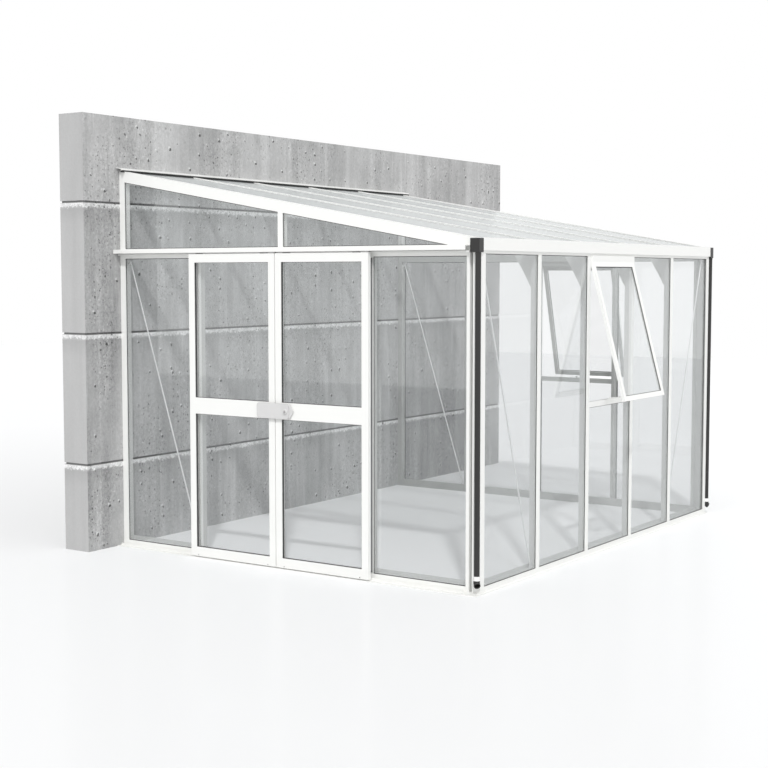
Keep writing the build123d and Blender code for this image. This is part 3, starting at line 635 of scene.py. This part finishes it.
for side, start in leaf_start.items():
    rings = leaf_rings(start)
    join_as(side + "_door_gaskets", rings, gasket_rubber, side + "_door")

# %% [markdown]
# The two top-hung windows stand open, so their gaskets lie on a tilted plane. It is found from the
# hinge line by going down the sash and out from the glass. They are fixed as in the photograph.

# %% Gaskets of the open windows
open_angle = math.radians(15)
hinge_bar = 0.037
sash_proud = 0.012
sash_side_gap = 0.003
sash_length = 0.970
sash_bar = 0.034
glass_set = 0.008


def sash_ring(hinge, along, out):
    down = Vector((0, 0, -math.cos(open_angle))) + out * math.sin(open_angle)
    face = Vector((0, 0, math.sin(open_angle))) + out * math.cos(open_angle)
    half = bay / 2 - half_cover - sash_side_gap - sash_bar
    foot, head = sash_length - sash_bar, sash_bar
    at = [(-half, foot), (half, foot), (half, head), (-half, head)]
    corners = [hinge + along * u + down * v - face * glass_set for u, v in at]
    return gasket_ring(corners, face)


front_middle = front_line(window_bay) + bay / 2
side_middle = side_line(window_bay) + bay / 2
front_hinge = house(front_middle, house_depth + sash_proud, eaves_level - hinge_bar)
side_hinge = house(house_length + sash_proud, side_middle, rail_bottom - hinge_bar)
front_sash = sash_ring(front_hinge, Vector((1, 0, 0)), Vector((0, -1, 0)))
side_sash = sash_ring(side_hinge, Vector((0, 1, 0)), Vector((1, 0, 0)))
join_as("window_gaskets", [front_sash, side_sash], gasket_rubber, "greenhouse")

# %% [markdown]
# A pale brush strip stands on each leaf's top rail and closes the gap under the track's hood, so the
# rollers stay clean. A strip is one box of the leaf's length. Another lies down the left leaf's
# meeting stile as a draught seal, so no gap shows between the leaves.

# %% Brush strips and meeting seal
brush_inset = 0.004
brush_top = 2.080
seal_foot, seal_top = 0.0145, 2.060


def strip(name, low, high, finish, body):
    bpy.ops.object.select_all(action="DESELECT")
    bpy.ops.mesh.primitive_cube_add(size=1.0, location=(low + high) / 2)
    piece = bpy.context.active_object
    piece.scale = [abs(size) for size in high - low]
    join_as(name, [piece], finish, body)


for side, start in leaf_start.items():
    low = house(-0.048, start + brush_inset, leaf_top)
    high = house(-0.052, start + leaf_width - brush_inset, brush_top)
    strip(side + "_door_brush", low, high, white_plastic, side + "_door")
meeting = leaf_start["left"] + leaf_width
low, high = house(-0.040, meeting, seal_foot), house(-0.045, meeting + 0.0045, seal_top)
strip("meeting_seal", low, high, white_plastic, "left_door")

# %% [markdown]
# Two grey brush strips stand on the door jambs, behind the outer edges of the shut leaves. Their dark
# grey is also painted shade: they show as the dark line of the shaded gap beside the right leaf. They
# stay well clear of the leaves' backs.

# %% Brush strips of the jambs
brush_width, brush_reach = 0.012, 0.008
jamb_brush_foot, jamb_brush_top = 0.050, 2.030
jamb_brush_shades = {"left_jamb_brush_shade": side_line(1) - 0.017, "right_jamb_brush_shade": side_line(3) + 0.005}
for name, near in jamb_brush_shades.items():
    low = house(0, near, jamb_brush_foot)
    high = house(-brush_reach, near + brush_width, jamb_brush_top)
    strip(name, low, high, grey_brush_shade, "greenhouse")

# %% [markdown]
# The ridge flashing ends in a soft black lip over the roof sheets, whose black also stands in for the
# shade in the gap under the flashing's nose. It is one long box under the flashing's nose, just above
# the caps of the glazing bars.

# %% Lip of the ridge flashing
lip_y = (0.051, 0.053)
lip_z = (2.646, 2.655)
lip_overhang = (0.033, 0.039)
low = house(-lip_overhang[0], lip_y[0], lip_z[0])
high = house(house_length + lip_overhang[1], lip_y[1], lip_z[1])
strip("flashing_lip_shade", low, high, black_rubber, "greenhouse")

# %% [markdown]
# Screws hold the guide shoes to the leaves and tie the legs of the front posts, and one larger head
# is the latch's pin. A pan head is made from a short cylinder: its top face is inset and lifted,
# which rounds the rim, then inset again and sunk for the driver. It is copied to every place, each
# copy with its own mesh, and turned to stand out from its bar.

# %% One pan-head screw
pan_radius = 0.0045
height_share = 0.53


def pick_faces(piece, test):
    bpy.ops.object.mode_set(mode="OBJECT")
    for vertex in piece.data.vertices:
        vertex.select = False
    for edge in piece.data.edges:
        edge.select = False
    for face in piece.data.polygons:
        face.select = test(face)
    bpy.ops.object.mode_set(mode="EDIT")
    bpy.ops.mesh.select_mode(type="FACE")


def screw_head(radius):
    height = radius * height_share
    middle = (0, 0, height / 2)
    bpy.ops.object.select_all(action="DESELECT")
    bpy.ops.mesh.primitive_cylinder_add(vertices=18, radius=radius, depth=height, location=middle)
    screw = bpy.context.active_object
    pick_faces(screw, lambda face: face.normal.z > 0.9)
    bpy.ops.mesh.inset(thickness=radius * 0.22, depth=height * 0.18)
    bpy.ops.mesh.inset(thickness=radius * 0.30, depth=0)
    bpy.ops.mesh.extrude_region_move(TRANSFORM_OT_translate={"value": (0, 0, -height * 0.55)})
    bpy.ops.object.mode_set(mode="OBJECT")
    bpy.ops.object.transform_apply(location=True, rotation=True, scale=True)
    return screw


def screws(name, places, outwards, body, radius=pan_radius):
    master = screw_head(radius)
    turn = Vector((0, 0, 1)).rotation_difference(Vector(outwards)).to_matrix().to_4x4()
    copies = []
    for place in places:
        copy = bpy.data.objects.new(name + "_copy", master.data.copy())
        bpy.context.scene.collection.objects.link(copy)
        copy.data.transform(Matrix.Translation(place) @ turn)
        copies.append(copy)
    bpy.data.objects.remove(master)
    join_as(name, copies, steel, body)


print("screw head:", pan_radius * 2, "m across and", round(pan_radius * height_share, 4), "m high")

# %% [markdown]
# The screws are set out on the same grid: two on each leaf, level with its guide shoes, one on the
# latch plate, and four up each post of the front.

# %% Screws on leaves, latch and posts
shoe_face, shoe_screw_inset, shoe_screw_level = -0.062, 0.065, 0.020
latch_inset, latch_level, latch_pin_radius = 0.096, 1.0425, 0.008
post_leg_back, first_post_screw, post_screw_step = 0.059, 0.25, 0.45
for side, start in leaf_start.items():
    ends = (start + shoe_screw_inset, start + leaf_width - shoe_screw_inset)
    places = [house(shoe_face, y, shoe_screw_level) for y in ends]
    screws(side + "_door_screws", places, (-1, 0, 0), side + "_door")
latch_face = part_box("latch_plate")[0][0]
latch_pin = Vector((latch_face, wall_y - leaf_start["right"] - latch_inset, latch_level))
screws("latch_screw", [latch_pin], (-1, 0, 0), "latch", latch_pin_radius)
levels = [first_post_screw + post_screw_step * i for i in range(4)]
inner_posts = [front_line(i) for i in range(1, 5)]
post_places = [house(x, house_depth - post_leg_back, z) for x in inner_posts for z in levels]
screws("front_post_screws", post_places, (0, 1, 0), "greenhouse")

# %% [markdown]
# The floor is a plain pale sheet that reaches well past the house. It has to stay white in a white
# room and still carry the shadows, so it is a pale matt shader with a faint gloss, and rays that
# come from the camera see a little extra light on it, which fades after a few panes and is strongest
# far out and to the right, where no pane is on the way. What the glass mirrors of the floor left of
# the house is a darker grey. The sheet ends some way behind the house, which shows through the panes
# as a soft horizon.

# %% Floor
floor_left, floor_right, floor_half = -16.0, 21.7, 24.0
house_middle = (-0.7, -1.6, 0.0)
across_view = (0.56, -0.83, 0.0)
bpy.ops.object.select_all(action="DESELECT")
bpy.ops.mesh.primitive_plane_add(size=1.0, location=(0, 0, 0))
floor = bpy.context.active_object
for vertex in floor.data.vertices:
    vertex.co.x = floor_right if vertex.co.x > 0 else floor_left
    vertex.co.y = floor_half if vertex.co.y > 0 else -floor_half
floor.name = "studio_floor"
paint = Finish("studio_floor")
spot = paint.place()
span = {"operation": "DISTANCE"}
away = paint.node("ShaderNodeVectorMath", span, {0: spot, 1: house_middle}, take="Value")
left = spot.along("X").falls(-3.0, 1.5)
far = away.rises(3.0, 6.0)
right = spot.towards(across_view).rises(1.6, 2.6)
mirrored = paint.ray("Is Glossy Ray") * left
matt = paint.surface({
    "Base Color": paint.mix(mirrored, (0.745, 0.75, 0.755, 1), (0.48, 0.485, 0.49, 1)),
    "Roughness": 0.9,
    "Specular IOR Level": 0.0,
})
gloss = paint.node("ShaderNodeBsdfGlossy", {}, {"Color": (1, 1, 1, 1), "Roughness": 0.16})
matt = paint.blend(0.05, matt, gloss)
camera_ray = paint.ray("Is Camera Ray")
panes_passed = paint.ray("Transparent Depth")
direct = camera_ray * (2.5 - panes_passed * 0.30).clamped()
outdoors = camera_ray * (1 - panes_passed).clamped()
glow = paint.flat_grey(direct * 0.13 + outdoors * (far * 0.05 + right * 0.12))
glow = paint.node("ShaderNodeEmission", {}, {"Color": glow, "Strength": 1.0})
paint.finish_with(paint.node("ShaderNodeAddShader", {}, {0: matt, 1: glow}))
floor.data.materials.append(paint.material)

# %% [markdown]
# A studio sky lights the house from all sides, most from the camera's side, and what the camera, the
# glass and the gloss see of it is plain white. One soft sun from behind and above the camera makes
# the wall's end a little brighter than its front and lays the bars' faint shadows on the floor
# inside.

# %% Sky and sun
camera_side = (-0.65, -0.76, 0.0)
darkest_sky = 0.52
world = bpy.data.worlds.new("studio_sky")
bpy.context.scene.world = world
world.use_nodes = True
sky = Finish("studio_sky", world.node_tree)
seen = sky.ray("Is Camera Ray")
for kind in ("Is Glossy Ray", "Is Transmission Ray"):
    seen = seen.larger(sky.ray(kind))
heading = sky.node("ShaderNodeTexCoord", take="Generated")
sky_light = (0.71 + heading.towards(camera_side) * 0.33).larger(darkest_sky)
sky_shown = {"Color": (1, 1, 1, 1), "Strength": sky_light + seen * (1 - sky_light)}
sky.finish_with(sky.node("ShaderNodeBackground", {}, sky_shown), "ShaderNodeOutputWorld")
sun_heading = math.radians(35.5)
sun_height = math.radians(45.0)
sun_ray = Vector((
    math.cos(sun_heading) * math.cos(sun_height),
    math.sin(sun_heading) * math.cos(sun_height),
    -math.sin(sun_height),
))
sun = bpy.data.objects.new("soft_sun", bpy.data.lights.new("soft_sun", "SUN"))
bpy.context.scene.collection.objects.link(sun)
sun.data.energy = 1.65
sun.data.angle = math.radians(3.0)
sun.rotation_euler = sun_ray.to_track_quat("-Z", "Y").to_euler()
print("sun ray:", [round(v, 3) for v in sun_ray])

# %% [markdown]
# The camera stands about at a tall person's eye height and looks at the corner between doors and
# front. A fairly long lens keeps the uprights nearly parallel.

# %% Camera and view
camera = bpy.data.objects.new("camera", bpy.data.cameras.new("camera"))
bpy.context.scene.collection.objects.link(camera)
camera.location = (-9.971, -7.3625, 1.922)
camera.rotation_euler = (math.radians(85.69), 0.0, math.radians(-56.02))
camera.data.lens = 67.63
camera.data.sensor_width = 36.0
camera.data.clip_end = 200.0
bpy.context.scene.camera = camera
bpy.context.scene.view_settings.view_transform = "Standard"
print("camera stands", round(camera.location.length, 2), "m from the wall's foot")
